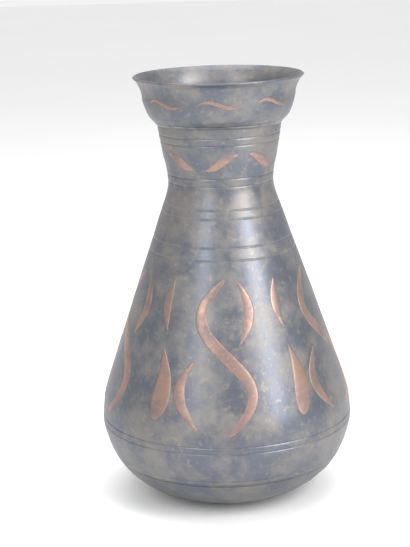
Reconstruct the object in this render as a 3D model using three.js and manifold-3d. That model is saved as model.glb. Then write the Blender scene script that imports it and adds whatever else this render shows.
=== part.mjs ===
import * as THREE from 'three';
import { mergeVertices } from 'three/addons/utils/BufferGeometryUtils.js';
import Module from 'manifold-3d';

const wasm = await Module();
wasm.setup();
const { Manifold, Mesh } = wasm;

// Driving sizes in millimetres. The vase stands on z = 0 and its axis is Z.
const FIT_GAP = 0.3;
const WALL = 1.6;
const CUP_WALL = 1.3;
const BASE_FLAT_RADIUS = 28;
const BASE_SEAM_HEIGHT = 29;
const BASE_LAP_HEIGHT = 6;
const NECK_TOP = 270;
const CUP_SLEEVE_DEPTH = 7;
const RIM_HEIGHT = 300;
const ROW_STEP = 11;
const TURN_STEPS = 56;

// Copper inlays lie flush with the skin, in recesses cut half way into the wall.
const INLAY_THICKNESS = 0.5;
const RECESS_DEPTH = INLAY_THICKNESS + FIT_GAP;
const INLAY_STEPS = 12;
const INLAY_TIP = 0.4;

// Outer shape as [height, radius], measured along the side of the vase.
const BODY_STATIONS = [
  [0, BASE_FLAT_RADIUS], [1.2, 35.9], [3, 44.6], [6, 54.8], [10, 62.6], [15, 69.3], [22, 76.4],
  [31, 82.2], [42, 86.7], [56, 89.7], [70, 88.4], [85, 84.3], [102, 78.5], [122, 71.7],
  [145, 63.7], [168, 55.8], [188, 48.7], [200, 44.7], [210, 41.2], [218, 38.4], [226, 36.9],
  [236, 37.7], [246, 39.7], [254, 41.2], [262, 42.5], [NECK_TOP, 43.4],
];
const CUP_STATIONS = [
  [NECK_TOP, 46.2], [274, 49.2], [282, 52.2], [290, 53.6], [296, 56.2], [RIM_HEIGHT, 59.6],
];

const brass = new THREE.MeshStandardMaterial({ color: 0x5a5c62, metalness: 0.8, roughness: 0.5 });
const copper = new THREE.MeshStandardMaterial({ color: 0x9a7466, metalness: 0.9, roughness: 0.45 });
const solder = new THREE.MeshStandardMaterial({ color: 0x8b8b88, metalness: 0.8, roughness: 0.6 });

// A smooth curve through the stations that never overshoots them.
function smoothOutline(stations) {
  const chord = (i) => (stations[i + 1][1] - stations[i][1]) / (stations[i + 1][0] - stations[i][0]);
  const slopes = stations.map((_, i) => {
    if (i === 0) return chord(0);
    if (i === stations.length - 1) return chord(i - 1);
    const before = chord(i - 1);
    const after = chord(i);
    return before * after <= 0 ? 0 : (2 * before * after) / (before + after);
  });
  function at(z) {
    const last = stations.length - 2;
    const i = Math.min(last, Math.max(0, stations.findIndex((s) => s[0] > z) - 1));
    const k = z >= stations[last][0] ? last : i;
    const span = stations[k + 1][0] - stations[k][0];
    return { k, span, t: (z - stations[k][0]) / span };
  }
  return {
    radius(z) {
      const { k, span, t } = at(z);
      const rise = stations[k + 1][1] - stations[k][1];
      const a = slopes[k] * span;
      const b = slopes[k + 1] * span;
      return stations[k][1] + a * t + (3 * rise - 2 * a - b) * t * t + (a + b - 2 * rise) * t ** 3;
    },
    slope(z) {
      const { k, span, t } = at(z);
      const rise = stations[k + 1][1] - stations[k][1];
      const a = slopes[k] * span;
      const b = slopes[k + 1] * span;
      return (a + 2 * (3 * rise - 2 * a - b) * t + 3 * (a + b - 2 * rise) * t * t) / span;
    },
  };
}

const bodyOutline = smoothOutline(BODY_STATIONS);
const cupOutline = smoothOutline(CUP_STATIONS);

// The point a given depth under the skin, measured square to it.
function underSkin(outline, z, depth) {
  const slope = outline.slope(z);
  const length = Math.hypot(1, slope);
  return new THREE.Vector2(outline.radius(z) - depth / length, z + (depth * slope) / length);
}

function rows(from, to, step) {
  const count = Math.max(1, Math.round((to - from) / step));
  return Array.from({ length: count + 1 }, (_, i) => from + ((to - from) * i) / count);
}

function turned(points) {
  const geometry = new THREE.LatheGeometry(points, TURN_STEPS);
  geometry.rotateX(Math.PI / 2);
  return geometry;
}

function toSolid(geometry) {
  geometry.deleteAttribute('normal');
  geometry.deleteAttribute('uv');
  const merged = mergeVertices(geometry, 1e-4);
  const vertProperties = new Float32Array(merged.attributes.position.array);
  const triVerts = new Uint32Array(merged.index.array);
  return new Manifold(new Mesh({ numProp: 3, vertProperties, triVerts }));
}

function toGeometry(solid) {
  const mesh = solid.getMesh();
  const geometry = new THREE.BufferGeometry();
  geometry.setAttribute('position', new THREE.BufferAttribute(mesh.vertProperties, 3));
  geometry.setIndex(new THREE.BufferAttribute(mesh.triVerts, 1));
  geometry.computeVertexNormals();
  return geometry;
}

// Base pan: flat in the middle, rising to the seam, with a lip that laps inside the body wall.
function basePan() {
  const shoulder = BASE_SEAM_HEIGHT - FIT_GAP / 2;
  const heights = [...BODY_STATIONS.map((s) => s[0]).filter((z) => z < shoulder - 3), shoulder];
  const lipHeights = rows(shoulder, BASE_SEAM_HEIGHT + BASE_LAP_HEIGHT, 3);
  const lipOuter = lipHeights.map((z) => underSkin(bodyOutline, z, WALL + FIT_GAP));
  const lipInner = lipHeights.map((z) => underSkin(bodyOutline, z, WALL + FIT_GAP + CUP_WALL));
  const outer = heights.map((z) => underSkin(bodyOutline, z, 0));
  const inner = heights.slice(0, -2).map((z) => underSkin(bodyOutline, z, WALL));
  return turned([
    new THREE.Vector2(0, 0),
    ...outer,
    ...lipOuter,
    ...lipInner.reverse(),
    ...inner.reverse(),
    new THREE.Vector2(0, WALL),
  ]);
}

// Body shell: one raised wall from the base seam through the waist to the top of the neck.
function bodyWall() {
  const heights = rows(BASE_SEAM_HEIGHT + FIT_GAP / 2, NECK_TOP - FIT_GAP, ROW_STEP);
  const outer = heights.map((z) => underSkin(bodyOutline, z, 0));
  const inner = heights.map((z) => underSkin(bodyOutline, z, WALL)).reverse();
  return turned([...outer, ...inner, outer[0].clone()]);
}

// Mouth cup: a sleeve inside the neck, a ledge that sits over the neck's edge, and the flared lip.
function mouthCup() {
  const sleeveHeights = rows(NECK_TOP - CUP_SLEEVE_DEPTH, NECK_TOP, 3.5);
  const sleeveOuter = sleeveHeights.map((z) => underSkin(bodyOutline, z, WALL + FIT_GAP));
  const sleeveInner = sleeveHeights.map((z) => underSkin(bodyOutline, z, WALL + FIT_GAP + CUP_WALL));
  const heights = [...rows(NECK_TOP, 282, 3), ...rows(285, RIM_HEIGHT, 2.5)];
  const outer = heights.map((z) => underSkin(cupOutline, z, 0));
  const inner = heights.slice(1).map((z) => underSkin(cupOutline, z, CUP_WALL));
  return turned([...sleeveOuter, ...outer, ...inner.reverse(), ...sleeveInner.reverse(), sleeveOuter[0].clone()]);
}

// Solder seam: the uneven bead that fills the corner under the ledge of the cup.
function solderSeam() {
  const top = NECK_TOP - FIT_GAP;
  const neck = bodyOutline.radius(top) + FIT_GAP;
  const points = [
    new THREE.Vector2(bodyOutline.radius(top - 2.2) + FIT_GAP, top - 2.2),
    new THREE.Vector2(neck + 1.1, top - 1.0),
    new THREE.Vector2(neck + 1.6, top),
    new THREE.Vector2(neck, top),
  ];
  const geometry = turned([...points, points[0].clone()]);
  const position = geometry.attributes.position;
  for (let i = 0; i < position.count; i += 1) {
    const angle = Math.atan2(position.getY(i), position.getX(i));
    const swell = 0.25 * Math.sin(3 * angle + 0.6) + 0.15 * Math.sin(7 * angle);
    if (position.getZ(i) < top - 0.5) position.setZ(i, position.getZ(i) + swell);
  }
  return geometry;
}

// A band of metal laid along a path on the skin. The path gives an angle and a height for each t.
function skinBand({ outline, path, halfWidth }, { over, under, margin }) {
  const nudge = 1e-3;
  const frameAt = (t) => {
    const here = path(t);
    const next = path(t + nudge);
    const radius = outline.radius(here.z);
    const stretch = Math.hypot(1, outline.slope(here.z));
    const along = new THREE.Vector2((next.angle - here.angle) * radius, (next.z - here.z) * stretch);
    const speed = along.length() / nudge;
    return { here, radius, stretch, along: along.normalize(), speed };
  };
  const startPad = -margin / frameAt(0).speed;
  const endPad = margin / frameAt(1).speed;
  const positions = [];
  const indices = [];
  for (let i = 0; i <= INLAY_STEPS; i += 1) {
    const inside = i / INLAY_STEPS;
    const t = startPad + (1 + endPad - startPad) * inside;
    const { here, radius, stretch, along } = frameAt(t);
    const reach = halfWidth(inside) + margin;
    for (const [side, depth] of [[-1, -over], [1, -over], [1, under], [-1, under]]) {
      const angle = here.angle - (side * along.y * reach) / radius;
      const z = here.z + (side * along.x * reach) / stretch;
      const point = underSkin(outline, z, depth);
      positions.push(point.x * Math.cos(angle), point.x * Math.sin(angle), point.y);
    }
  }
  for (let i = 0; i < INLAY_STEPS; i += 1) {
    for (let j = 0; j < 4; j += 1) {
      const a = 4 * i + j;
      const b = 4 * i + ((j + 1) % 4);
      indices.push(a, a + 4, b, b, a + 4, b + 4);
    }
  }
  const end = 4 * INLAY_STEPS;
  indices.push(0, 1, 2, 0, 2, 3, end, end + 2, end + 1, end, end + 3, end + 2);
  const geometry = new THREE.BufferGeometry();
  geometry.setAttribute('position', new THREE.Float32BufferAttribute(positions, 3));
  geometry.setIndex(indices);
  return geometry;
}

const inlayOf = (band) => skinBand(band, { over: 0, under: INLAY_THICKNESS, margin: 0 });
const recessOf = (band) => skinBand(band, { over: 1, under: RECESS_DEPTH, margin: FIT_GAP });

const leafWidth = (widest) => (t) => INLAY_TIP + widest * Math.sin(Math.PI * t);
const strapWidth = (widest) => (t) => INLAY_TIP + widest * Math.sin(Math.PI * t) ** 0.45;
const dropWidth = (widest) => (t) => INLAY_TIP + widest * Math.sin(Math.PI * t ** 0.6);

// A path whose sideways offset in millimetres is turned into an angle at each height.
function panelPath(centre, from, to, sideways) {
  return (t) => {
    const z = from + (to - from) * t;
    return { z, angle: centre + sideways(t) / bodyOutline.radius(z) };
  };
}

// Panel ornament: five repeats of an S scroll, two leaves, a drop and a bud.
const PANEL_REPEATS = 5;
function panelBands() {
  const pitch = (2 * Math.PI) / PANEL_REPEATS;
  const bands = [];
  for (let k = 0; k < PANEL_REPEATS; k += 1) {
    const centre = -Math.PI / 2 + k * pitch;
    const between = centre + pitch / 2;
    const scroll = panelPath(centre, 68, 168, (t) => 17 * Math.sin(2 * Math.PI * t));
    const lowLeaf = panelPath(centre, 72, 116, (t) => -22 - 12 * Math.sin(Math.PI * t));
    const highLeaf = panelPath(centre, 126, 166, (t) => 9 + 7 * Math.sin(Math.PI * t));
    const drop = panelPath(between, 76, 122, (t) => 4 * Math.sin(Math.PI * t));
    const bud = panelPath(between, 134, 166, (t) => -3 * Math.sin(Math.PI * t));
    bands.push(
      { name: `panel_scroll_${k + 1}`, path: scroll, halfWidth: strapWidth(3.8) },
      { name: `panel_low_leaf_${k + 1}`, path: lowLeaf, halfWidth: leafWidth(3.6) },
      { name: `panel_high_leaf_${k + 1}`, path: highLeaf, halfWidth: leafWidth(3.2) },
      { name: `panel_drop_${k + 1}`, path: drop, halfWidth: dropWidth(6.5) },
      { name: `panel_bud_${k + 1}`, path: bud, halfWidth: leafWidth(2.8) },
    );
  }
  return bands.map((band) => ({ ...band, outline: bodyOutline }));
}

// Neck ornament: leaves that lean up and down in turn between the two line pairs.
const NECK_LEAVES = 8;
function neckBands() {
  return Array.from({ length: NECK_LEAVES }, (_, k) => {
    const centre = -Math.PI / 2 + (k * 2 * Math.PI) / NECK_LEAVES;
    const lean = k % 2 === 0 ? 1 : -1;
    const path = (t) => ({
      angle: centre + 0.56 * (t - 0.5),
      z: 244.5 + lean * 5 * Math.sin(Math.PI * (t - 0.5)),
    });
    return { name: `neck_leaf_${k + 1}`, outline: bodyOutline, path, halfWidth: leafWidth(2.7) };
  });
}

// Collar ornament: short running waves round the mouth cup.
const COLLAR_WAVES = 8;
function collarBands() {
  return Array.from({ length: COLLAR_WAVES }, (_, k) => {
    const centre = -Math.PI / 2 + (k * 2 * Math.PI) / COLLAR_WAVES;
    const path = (t) => ({ angle: centre + 0.6 * (t - 0.5), z: 285 + 2.2 * Math.sin(2 * Math.PI * t) });
    return { name: `collar_wave_${k + 1}`, outline: cupOutline, path, halfWidth: leafWidth(0.9) };
  });
}

function cutRecesses(geometry, bands) {
  const shell = bands.reduce((left, band) => left.subtract(toSolid(recessOf(band))), toSolid(geometry));
  return toGeometry(shell);
}

const vase = new THREE.Group();
vase.name = 'vase';

function addPiece(name, geometry, material) {
  const mesh = new THREE.Mesh(geometry, material);
  mesh.name = name;
  vase.add(mesh);
}

const bodyBands = [...panelBands(), ...neckBands()];
const cupBands = collarBands();
addPiece('base_pan', toGeometry(toSolid(basePan())), brass);
addPiece('body_shell', cutRecesses(bodyWall(), bodyBands), brass);
addPiece('mouth_cup', cutRecesses(mouthCup(), cupBands), brass);
addPiece('collar_solder_seam', toGeometry(toSolid(solderSeam())), solder);
[...bodyBands, ...cupBands].forEach((band) => addPiece(band.name, toGeometry(toSolid(inlayOf(band))), copper));

export default vase;
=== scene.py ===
"""A dark patinated brass vase with copper inlays, dressed round its CAD frame. Lengths are in metres."""

import logging
import math
from dataclasses import dataclass
from enum import Enum
from typing import Callable

import bpy
import numpy as np
from mathutils import Matrix, Vector

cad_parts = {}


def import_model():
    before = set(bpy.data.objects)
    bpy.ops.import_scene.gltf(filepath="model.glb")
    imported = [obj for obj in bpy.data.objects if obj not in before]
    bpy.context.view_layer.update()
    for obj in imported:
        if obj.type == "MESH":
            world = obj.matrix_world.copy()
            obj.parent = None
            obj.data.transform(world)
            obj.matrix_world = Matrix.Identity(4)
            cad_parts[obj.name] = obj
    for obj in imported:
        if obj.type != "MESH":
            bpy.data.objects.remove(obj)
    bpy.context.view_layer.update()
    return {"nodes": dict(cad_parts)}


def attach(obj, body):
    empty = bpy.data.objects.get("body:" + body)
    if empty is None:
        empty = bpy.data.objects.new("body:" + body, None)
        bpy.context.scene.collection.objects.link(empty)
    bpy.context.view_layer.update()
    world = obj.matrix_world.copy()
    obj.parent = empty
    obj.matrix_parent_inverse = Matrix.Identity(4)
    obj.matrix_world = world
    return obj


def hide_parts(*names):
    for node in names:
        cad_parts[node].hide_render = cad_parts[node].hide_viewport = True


log = logging.getLogger("vase")
MM = 0.001
BODY = "root"

Colour = tuple[float, float, float]
Place = tuple[float, float, float]
SkinPath = Callable[[np.ndarray], tuple[np.ndarray, np.ndarray]]
WidthAlong = Callable[[np.ndarray], np.ndarray]


class Slot(Enum):
    """The record's material slots."""

    BRASS = "patinated_brass"
    COPPER = "copper_inlay"
    SOLDER = "solder"


@dataclass(frozen=True)
class Outline:
    """A side outline: heights and radii in millimetres, joined by a smooth curve.

    Between two stations the radius is a cubic whose end slopes are the harmonic mean of the chords
    on either side, so the curve never swings past a station.
    """

    heights: tuple[float, ...]
    radii: tuple[float, ...]
    slope_step: float = 0.01

    def slopes(self) -> np.ndarray:
        """Returns the slope at each station."""
        chord = np.diff(self.radii) / np.diff(self.heights)
        before, after = chord[:-1], chord[1:]
        same_way = before * after > 0
        total = np.where(same_way, before + after, 1.0)
        middle = np.where(same_way, 2 * before * after / total, 0.0)
        return np.concatenate([[chord[0]], middle, [chord[-1]]])

    def radius(self, z: np.ndarray) -> np.ndarray:
        """Works out the skin's radius.

        Args:
            z: heights in millimetres.

        Returns:
            The radius at each height, in millimetres.
        """
        heights, radii, slopes = np.array(self.heights), np.array(self.radii), self.slopes()
        k = np.clip(np.searchsorted(heights, z, side="right") - 1, 0, len(heights) - 2)
        span = heights[k + 1] - heights[k]
        t = (z - heights[k]) / span
        rise, a, b = radii[k + 1] - radii[k], slopes[k] * span, slopes[k + 1] * span
        return radii[k] + a * t + (3 * rise - 2 * a - b) * t**2 + (a + b - 2 * rise) * t**3

    def skin(self, z: np.ndarray, depth: np.ndarray | float) -> tuple[np.ndarray, np.ndarray]:
        """Finds points at a depth under the skin, measured square to it.

        Args:
            z: heights on the skin, in millimetres.
            depth: how far under the skin, negative above it.

        Returns:
            The points' radii and heights.
        """
        step = self.slope_step
        slope = (self.radius(z + step) - self.radius(z - step)) / (2 * step)
        length = np.hypot(1, slope)
        return self.radius(z) - depth / length, z + depth * slope / length


NECK_TOP = 270
BODY_OUTLINE = Outline(
    (0, 1.2, 3, 6, 10, 15, 22, 31, 42, 56, 70, 85, 102, 122, 145, 168, 188, 200, 210, 218, 226, 236,
     246, 254, 262, NECK_TOP),
    (28, 35.9, 44.6, 54.8, 62.6, 69.3, 76.4, 82.2, 86.7, 89.7, 88.4, 84.3, 78.5, 71.7, 63.7, 55.8, 48.7,
     44.7, 41.2, 38.4, 36.9, 37.7, 39.7, 41.2, 42.5, 43.4),
)
CUP_OUTLINE = Outline((NECK_TOP, 274, 282, 290, 296, 300), (46.2, 49.2, 52.2, 53.6, 56.2, 59.6))


def mesh_object(name: str, points: np.ndarray, faces: np.ndarray) -> bpy.types.Object:
    """Makes a smooth-shaded mesh object.

    Args:
        name: the piece's name.
        points: n by 3 positions in metres.
        faces: m by 4 vertex numbers, wound outwards.

    Returns:
        The new object, linked to the scene.
    """
    mesh = bpy.data.meshes.new(name)
    mesh.from_pydata(points.tolist(), [], faces.tolist())
    mesh.shade_smooth()
    piece = bpy.data.objects.new(name, mesh)
    bpy.context.scene.collection.objects.link(piece)
    return piece


def grid_faces(rows: int, columns: int) -> np.ndarray:
    """Joins the points of a grid that closes on itself both ways.

    Args:
        rows: points along the first direction.
        columns: points along the second.

    Returns:
        The quads' vertex numbers, one row each.
    """
    i, j = np.meshgrid(np.arange(rows), np.arange(columns), indexing="ij")
    up, over = (i + 1) % rows, (j + 1) % columns
    quads = [i * columns + j, i * columns + over, up * columns + over, up * columns + j]
    return np.stack([q.ravel() for q in quads], axis=1)


def finish_piece(piece: bpy.types.Object, material: bpy.types.Material, node: str) -> None:
    """Dresses a piece and lets it stand for its CAD node.

    Args:
        piece: the finished mesh object.
        material: what it is dressed in.
        node: the CAD node that it replaces.
    """
    piece.data.materials.append(material)
    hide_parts(node)
    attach(piece, BODY)
    log.info("%s: %d faces", piece.name, len(piece.data.polygons))


@dataclass
class MottleGroup:
    """The shared shader group: three tones blended by a broad and a fine noise."""

    name: str = "metal_mottle"
    noise_roughness: float = 0.65
    broad_detail: float = 6.0
    fine_detail: float = 8.0
    fine_share: float = 6.0
    stain_range: tuple[float, float] = (0.42, 0.62)
    wear_range: tuple[float, float] = (0.55, 0.72)
    gloss_range: tuple[float, float] = (0.3, 0.7)
    roughness_range: tuple[float, float] = (0.34, 0.52)

    def __post_init__(self) -> None:
        """Makes the empty group with its sockets."""
        self.tree = bpy.data.node_groups.new(self.name, "ShaderNodeTree")
        colours_in, numbers_in = ("Ground", "Stain", "Wear"), ("Scale", "Worn")
        self.add_sockets("INPUT", colours_in, numbers_in)
        self.add_sockets("OUTPUT", ("Color",), ("Roughness", "Height"))
        self.source = self.tree.nodes.new("NodeGroupInput")
        self.result = self.tree.nodes.new("NodeGroupOutput")
        self.place = self.tree.nodes.new("ShaderNodeTexCoord")

    def add_sockets(self, side: str, colours: tuple[str, ...], numbers: tuple[str, ...]) -> None:
        """Adds named sockets.

        Args:
            side: INPUT or OUTPUT.
            colours: names of the colour sockets.
            numbers: names of the number sockets.
        """
        for names, kind in ((colours, "NodeSocketColor"), (numbers, "NodeSocketFloat")):
            for name in names:
                self.tree.interface.new_socket(name, in_out=side, socket_type=kind)

    def times(self, first: bpy.types.NodeSocket) -> bpy.types.Node:
        """Returns a node that multiplies a socket by its own second input."""
        node = self.tree.nodes.new("ShaderNodeMath")
        node.operation = "MULTIPLY"
        self.tree.links.new(first, node.inputs[0])
        return node

    def noise(self, share: float, detail: float) -> bpy.types.Node:
        """Adds a noise on Object coordinates.

        Args:
            share: its scale as a multiple of the group's Scale.
            detail: how many octaves it has.

        Returns:
            The noise node.
        """
        scale = self.times(self.source.outputs["Scale"])
        scale.inputs[1].default_value = share
        node = self.tree.nodes.new("ShaderNodeTexNoise")
        node.inputs["Detail"].default_value = detail
        node.inputs["Roughness"].default_value = self.noise_roughness
        self.tree.links.new(self.place.outputs["Object"], node.inputs["Vector"])
        self.tree.links.new(scale.outputs[0], node.inputs["Scale"])
        return node

    def mask(self, noise: bpy.types.Node, span: tuple[float, float]) -> bpy.types.Node:
        """Adds a soft threshold of a noise.

        Args:
            noise: the noise to read.
            span: the values that become 0 and 1.

        Returns:
            The map range node.
        """
        node = self.tree.nodes.new("ShaderNodeMapRange")
        node.inputs["From Min"].default_value, node.inputs["From Max"].default_value = span
        self.tree.links.new(noise.outputs["Fac"], node.inputs["Value"])
        return node

    def mix(
        self, first: bpy.types.NodeSocket, second: bpy.types.NodeSocket, factor: bpy.types.NodeSocket
    ) -> bpy.types.NodeSocket:
        """Mixes two colours.

        Args:
            first: the colour at factor 0.
            second: the colour at factor 1.
            factor: the share of the second.

        Returns:
            The mixed colour's socket.
        """
        node = self.tree.nodes.new("ShaderNodeMix")
        node.data_type = "RGBA"
        self.tree.links.new(factor, node.inputs["Factor"])
        self.tree.links.new(first, node.inputs["A"])
        self.tree.links.new(second, node.inputs["B"])
        return node.outputs["Result"]

    def build(self) -> bpy.types.ShaderNodeTree:
        """Returns the finished group: stains by the broad noise, wear and height by the fine one."""
        link, tones = self.tree.links.new, self.source.outputs
        broad = self.noise(1.0, self.broad_detail)
        fine = self.noise(self.fine_share, self.fine_detail)
        stained = self.mix(tones["Ground"], tones["Stain"], self.mask(broad, self.stain_range).outputs[0])
        worn = self.times(self.mask(fine, self.wear_range).outputs[0])
        link(tones["Worn"], worn.inputs[1])
        link(self.mix(stained, tones["Wear"], worn.outputs[0]), self.result.inputs["Color"])
        gloss = self.mask(broad, self.gloss_range)
        gloss.inputs["To Min"].default_value, gloss.inputs["To Max"].default_value = self.roughness_range
        link(gloss.outputs[0], self.result.inputs["Roughness"])
        link(fine.outputs["Fac"], self.result.inputs["Height"])
        return self.tree


@dataclass(frozen=True)
class Finish:
    """One finish: three tones, the mottle's scale, the share of wear, metalness and bump strength."""

    name: str
    ground: Colour
    stain: Colour
    wear: Colour
    scale: float = 45.0
    worn: float = 0.5
    metallic: float = 0.75
    bump: float = 0.12
    bump_distance: float = 0.0006

    def build(self, group: bpy.types.ShaderNodeTree) -> bpy.types.Material:
        """Makes the material.

        Args:
            group: the shared mottle, which feeds colour, roughness and bump.

        Returns:
            The material.
        """
        material = bpy.data.materials.new(self.name)
        material.use_nodes = True
        nodes, link = material.node_tree.nodes, material.node_tree.links.new
        shader = nodes["Principled BSDF"]
        shader.inputs["Metallic"].default_value = self.metallic
        mottle = nodes.new("ShaderNodeGroup")
        mottle.node_tree = group
        for socket, tone in (("Ground", self.ground), ("Stain", self.stain), ("Wear", self.wear)):
            mottle.inputs[socket].default_value = (*tone, 1.0)
        mottle.inputs["Scale"].default_value = self.scale
        mottle.inputs["Worn"].default_value = self.worn
        bump = nodes.new("ShaderNodeBump")
        bump.inputs["Strength"].default_value = self.bump
        bump.inputs["Distance"].default_value = self.bump_distance
        link(mottle.outputs["Color"], shader.inputs["Base Color"])
        link(mottle.outputs["Roughness"], shader.inputs["Roughness"])
        link(mottle.outputs["Height"], bump.inputs["Height"])
        link(bump.outputs["Normal"], shader.inputs["Normal"])
        return material


BRASS = Finish("patinated_brass", (0.115, 0.125, 0.15), (0.2, 0.19, 0.185), (0.34, 0.28, 0.19))
COPPER = Finish(
    "copper_inlay", (0.3, 0.2, 0.165), (0.21, 0.16, 0.15), (0.45, 0.27, 0.18),
    scale=70.0, worn=0.6, metallic=0.8,
)
SOLDER = Finish(
    "solder", (0.2, 0.2, 0.2), (0.13, 0.13, 0.14), (0.34, 0.33, 0.3),
    scale=160.0, worn=0.7, metallic=0.7, bump=0.4,
)
PAPER = Finish(
    "floor_paper", (0.9, 0.9, 0.9), (0.92, 0.92, 0.92), (0.9, 0.9, 0.9),
    scale=2.0, worn=0.0, metallic=0.0, bump=0.0,
)


@dataclass
class TurnedShells:
    """The two turned walls that are remade finely: the body, with its engraved lines, and the mouth cup.

    Sizes are in millimetres. The base pan and the solder seam keep their CAD meshes.
    """

    segments: int = 208
    wall: float = 1.6
    cup_wall: float = 1.3
    seam: float = 29.0
    gap: float = 0.3
    row_step: float = 2.0
    groove_depth: float = 0.4
    groove_half_width: float = 0.55
    groove_reach: float = 1.2
    groove_rows: int = 13
    inner_row_stride: int = 6
    sleeve_depth: float = 7
    sleeve_rows: int = 4
    ledge_lift: float = 0.02
    lip_drop: float = 0.4
    cup_rows: int = 60
    lines: tuple[float, ...] = (33.0, 55.4, 60.0, 179.6, 187.9, 206.4, 212.3, 227.5, 233.1, 256.1, 261.1)

    def heights(self, low: float, high: float) -> np.ndarray:
        """Spaces the body's rows, close together at each engraved line.

        Args:
            low: the lowest row.
            high: the highest row.

        Returns:
            The rows' heights, rising.
        """
        across = np.linspace(-self.groove_reach, self.groove_reach, self.groove_rows)
        near = np.concatenate([z + across for z in self.lines])
        rows = np.concatenate([np.arange(low, high, self.row_step), near, [high]])
        return np.unique(rows[(rows >= low) & (rows <= high)].round(3))

    def groove(self, z: np.ndarray) -> np.ndarray:
        """Returns how deep the skin is cut at each height: a bell curve across each line."""
        offset = (z[:, None] - np.array(self.lines)[None, :]) / self.groove_half_width
        return self.groove_depth * np.exp(-(offset**2)).sum(axis=1)

    def turn(self, name: str, profile: list[tuple[np.ndarray, np.ndarray]]) -> bpy.types.Object:
        """Turns a closed profile about Z.

        Args:
            name: the piece's name.
            profile: stretches of radii and heights, upwards outside and downwards inside.

        Returns:
            The turned wall.
        """
        radius, height = (np.concatenate(side) for side in zip(*profile))
        angle = np.linspace(0, 2 * math.pi, self.segments, endpoint=False)
        x = radius[:, None] * np.cos(angle)[None, :]
        y = radius[:, None] * np.sin(angle)[None, :]
        z = np.broadcast_to(height[:, None], x.shape)
        points = np.stack([x, y, z], axis=2).reshape(-1, 3) * MM
        return mesh_object(name, points, grid_faces(len(radius), self.segments))

    def body(self) -> bpy.types.Object:
        """Returns the raised body wall."""
        z = self.heights(self.seam + self.gap / 2, NECK_TOP - self.gap)
        outer = BODY_OUTLINE.skin(z, self.groove(z))
        inner = BODY_OUTLINE.skin(z[:: self.inner_row_stride][::-1], self.wall)
        return self.turn("body_wall", [outer, inner])

    def cup(self) -> bpy.types.Object:
        """Returns the mouth cup with its sleeve, its ledge and its lip."""
        sleeve = np.linspace(NECK_TOP - self.sleeve_depth, NECK_TOP, self.sleeve_rows)
        rim = CUP_OUTLINE.heights[-1]
        z = np.linspace(NECK_TOP + self.ledge_lift, rim - self.lip_drop, self.cup_rows)
        inside_from_third_row = z[:2:-1]
        return self.turn("mouth_cup_wall", [
            BODY_OUTLINE.skin(sleeve, self.wall + self.gap),
            CUP_OUTLINE.skin(z, 0.0),
            CUP_OUTLINE.skin(inside_from_third_row, self.cup_wall),
            BODY_OUTLINE.skin(sleeve[::-1], self.wall + self.gap + self.cup_wall),
        ])


@dataclass
class CopperInlay:
    """A tapered copper band on the skin: pillowed a little above it, with its root under it.

    Across the band the height is proud times one minus the fourth power of the place across it.
    """

    name: str
    outline: Outline
    path: SkinPath
    half_width: WidthAlong
    steps: int = 72
    end_trim: float = 0.001
    proud: float = 0.22
    root: float = 0.5
    across: tuple[float, ...] = (-1, -0.85, -0.5, 0, 0.5, 0.85, 1)

    def section(self) -> tuple[np.ndarray, np.ndarray]:
        """Returns the places across the band and their depths, over the top and back under the root."""
        top = np.array(self.across)
        depth = -self.proud * (1 - np.abs(top) ** 4)
        return np.append(top, [1, -1]), np.append(depth, [self.root, self.root])

    def build(self) -> bpy.types.Object:
        """Returns the band: its section carried along the path, square to it and following the skin."""
        t = np.linspace(self.end_trim, 1 - self.end_trim, self.steps)
        angle, z = self.path(t)
        radius = self.outline.radius(z)
        always_climbs = np.ptp(z) > 1 and bool((np.diff(z) != 0).all())
        stretch = np.hypot(1, np.gradient(radius, z)) if always_climbs else np.ones_like(z)
        east, north = np.gradient(angle) * radius, np.gradient(z) * stretch
        length = np.hypot(east, north)
        across, depth = self.section()
        reach = across[None, :] * self.half_width(t)[:, None]
        turned = angle[:, None] - (north / length)[:, None] * reach / radius[:, None]
        high = z[:, None] + (east / length)[:, None] * reach / stretch[:, None]
        r, h = self.outline.skin(high, np.broadcast_to(depth[None, :], high.shape))
        points = np.stack([r * np.cos(turned), r * np.sin(turned), h], axis=2).reshape(-1, 3) * MM
        quads = grid_faces(self.steps, len(across))[: (self.steps - 1) * len(across), ::-1]
        return mesh_object(self.name + "_copper", points, quads)


INLAY_TIP = 0.4
FRONT = -math.pi / 2


def swelling(widest: float, blunt: float = 1.0, lean: float = 1.0) -> WidthAlong:
    """Makes a half width that swells as a sine from a fine tip and back.

    Args:
        widest: the swell, in millimetres.
        blunt: power of the sine; under 1 the band keeps its width for longer.
        lean: power of the place along the band; under 1 the swell comes early.

    Returns:
        The half width at each place along the band.
    """
    return lambda t: INLAY_TIP + widest * np.sin(math.pi * t**lean) ** blunt


@dataclass(frozen=True)
class PanelBand:
    """One band of the belly's ornament, repeated round it. Sizes are in millimetres.

    Its sideways place is offset plus swing times the sine of a number of half waves.
    """

    name: str
    low: float
    high: float
    swing: float
    width: WidthAlong
    offset: float = 0.0
    half_waves: float = 1.0
    in_between: bool = False

    def path(self, centre: float) -> SkinPath:
        """Makes the band's path.

        Args:
            centre: the angle that its sideways place is measured from.

        Returns:
            The angle and height at each place along the band.
        """

        def along(t: np.ndarray) -> tuple[np.ndarray, np.ndarray]:
            """Returns angle and height at each t."""
            z = self.low + (self.high - self.low) * t
            sideways = self.offset + self.swing * np.sin(self.half_waves * math.pi * t)
            return centre + sideways / BODY_OUTLINE.radius(z), z

        return along


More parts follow.
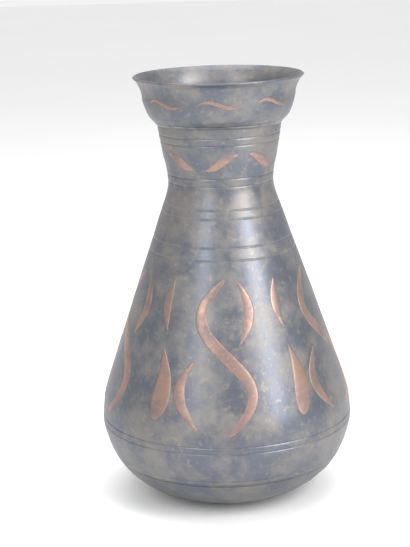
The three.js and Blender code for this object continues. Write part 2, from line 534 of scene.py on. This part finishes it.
@dataclass(frozen=True)
class RingBand:
    """One band of a ring of ornament. Heights are in millimetres and spread is in radians.

    Its height is the ring's height plus rise times the sine of a number of half waves.
    """

    name: str
    outline: Outline
    height: float
    rise: float
    spread: float
    width: WidthAlong
    half_waves: float = 1.0
    phase: float = 0.0
    alternates: bool = False

    def path(self, centre: float, number: int) -> SkinPath:
        """Makes the band's path.

        Args:
            centre: the angle of its middle.
            number: its place in the ring; odd ones are upside down where the ring alternates.

        Returns:
            The angle and height at each place along the band.
        """
        way = -1 if self.alternates and number % 2 else 1

        def along(t: np.ndarray) -> tuple[np.ndarray, np.ndarray]:
            """Returns angle and height at each t."""
            wave = np.sin(self.half_waves * math.pi * (t - self.phase))
            return centre + self.spread * (t - 0.5), self.height + way * self.rise * wave

        return along


@dataclass(frozen=True)
class InlayPlan:
    """Where every copper inlay lies: the belly's five repeats, and the rings of the neck and collar."""

    panel_repeats: int = 5
    ring_repeats: int = 8
    panel: tuple[PanelBand, ...] = (
        PanelBand("scroll", 68, 168, 17, swelling(3.8, blunt=0.45), half_waves=2),
        PanelBand("low_leaf", 72, 116, -12, swelling(3.6), offset=-22),
        PanelBand("high_leaf", 126, 166, 7, swelling(3.2), offset=9),
        PanelBand("drop", 76, 122, 4, swelling(6.5, lean=0.6), in_between=True),
        PanelBand("bud", 134, 166, -3, swelling(2.8), in_between=True),
    )
    rings: tuple[RingBand, ...] = (
        RingBand("neck_leaf", BODY_OUTLINE, 244.5, 5, 0.56, swelling(2.7), phase=0.5, alternates=True),
        RingBand("collar_wave", CUP_OUTLINE, 285, 2.2, 0.6, swelling(0.9), half_waves=2),
    )

    def inlays(self) -> list[CopperInlay]:
        """Returns every inlay, named as its CAD node is."""
        made = []
        pitch = 2 * math.pi / self.panel_repeats
        for k in range(self.panel_repeats):
            centre = FRONT + k * pitch
            for band in self.panel:
                path = band.path(centre + pitch / 2 if band.in_between else centre)
                made.append(CopperInlay(f"panel_{band.name}_{k + 1}", BODY_OUTLINE, path, band.width))
        for k in range(self.ring_repeats):
            centre = FRONT + k * 2 * math.pi / self.ring_repeats
            for band in self.rings:
                path = band.path(centre, k)
                made.append(CopperInlay(f"{band.name}_{k + 1}", band.outline, path, band.width))
        return made


@dataclass(frozen=True)
class SoftBox:
    """One rectangular soft light: its place and size in metres, and its power in watts."""

    name: str
    place: Place
    size: tuple[float, float]
    power: float
    target: Place = (0, 0, 0.15)

    def build(self) -> None:
        """Adds the light, turned to the middle of the vase."""
        lamp = bpy.data.lights.new(self.name, "AREA")
        lamp.shape = "RECTANGLE"
        lamp.size, lamp.size_y = self.size
        lamp.energy = self.power
        holder = bpy.data.objects.new(self.name, lamp)
        holder.location = self.place
        toward = Vector(self.target) - Vector(self.place)
        holder.rotation_euler = toward.to_track_quat("-Z", "Y").to_euler()
        bpy.context.scene.collection.objects.link(holder)


@dataclass(frozen=True)
class Studio:
    """The pale floor, the soft lights and the camera at the photograph's angle."""

    focal_px: float = 1437.5
    image_px: float = 547.0
    distance: float = 0.9935
    height: float = 0.4078
    aside: float = -0.01297
    pitch_deg: float = 14.06
    roll_deg: float = 1.69
    world_strength: float = 0.9
    floor_reach: float = 6.0
    boxes: tuple[SoftBox, ...] = (
        SoftBox("left_box", (-0.5, -0.9, 0.75), (0.12, 0.9), 5),
        SoftBox("right_box", (0.75, -0.7, 0.7), (0.2, 0.9), 12),
        SoftBox("top_box", (0, 0.2, 1.4), (1.2, 1.2), 14),
    )

    def add_world(self) -> None:
        """Surrounds the scene with even white light."""
        world = bpy.data.worlds.new("white_room")
        world.use_nodes = True
        background = world.node_tree.nodes["Background"]
        background.inputs["Color"].default_value = (1, 1, 1, 1)
        background.inputs["Strength"].default_value = self.world_strength
        bpy.context.scene.world = world

    def add_floor(self, group: bpy.types.ShaderNodeTree) -> None:
        """Lays the pale floor, dressed with the shared mottle group."""
        reach = self.floor_reach
        corners = np.array([[-reach, -reach, 0], [reach, -reach, 0], [reach, reach, 0], [-reach, reach, 0]])
        floor = mesh_object("floor", corners, np.array([[0, 1, 2, 3]]))
        floor.data.materials.append(PAPER.build(group))

    def add_camera(self) -> None:
        """Sets the camera: pitched down, and rolled because the photograph leans the vase."""
        data = bpy.data.cameras.new("camera")
        data.lens = self.focal_px / self.image_px * data.sensor_width
        camera = bpy.data.objects.new("camera", data)
        turn = Matrix.Rotation(math.radians(90 - self.pitch_deg), 4, "X")
        roll = Matrix.Rotation(-math.radians(self.roll_deg), 4, "Z")
        camera.matrix_world = Matrix.Translation((self.aside, -self.distance, self.height)) @ turn @ roll
        bpy.context.scene.collection.objects.link(camera)
        bpy.context.scene.camera = camera

    def build(self, group: bpy.types.ShaderNodeTree) -> None:
        """Builds world, floor, lights and camera, with the shared mottle group for the floor."""
        bpy.context.scene.view_settings.view_transform = "Standard"
        self.add_world()
        self.add_floor(group)
        for box in self.boxes:
            box.build()
        self.add_camera()


def dress_cad_node(node: bpy.types.Object, material: bpy.types.Material) -> None:
    """Gives a CAD node that stays in view its own material."""
    node.data.materials.clear()
    node.data.materials.append(material)
    log.info("%s: CAD mesh, %s", node.name, material.name)


def main() -> None:
    """Builds and dresses the whole vase, then the studio."""
    logging.basicConfig(level=logging.INFO)
    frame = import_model()
    group = MottleGroup().build()
    brass, copper, solder = (finish.build(group) for finish in (BRASS, COPPER, SOLDER))
    shells = TurnedShells()
    finish_piece(shells.body(), brass, "body_shell")
    finish_piece(shells.cup(), brass, "mouth_cup")
    dress_cad_node(frame["nodes"]["base_pan"], brass)
    dress_cad_node(frame["nodes"]["collar_solder_seam"], solder)
    for inlay in InlayPlan().inlays():
        finish_piece(inlay.build(), copper, inlay.name)
    Studio().build(group)


if __name__ == "__main__":
    main()
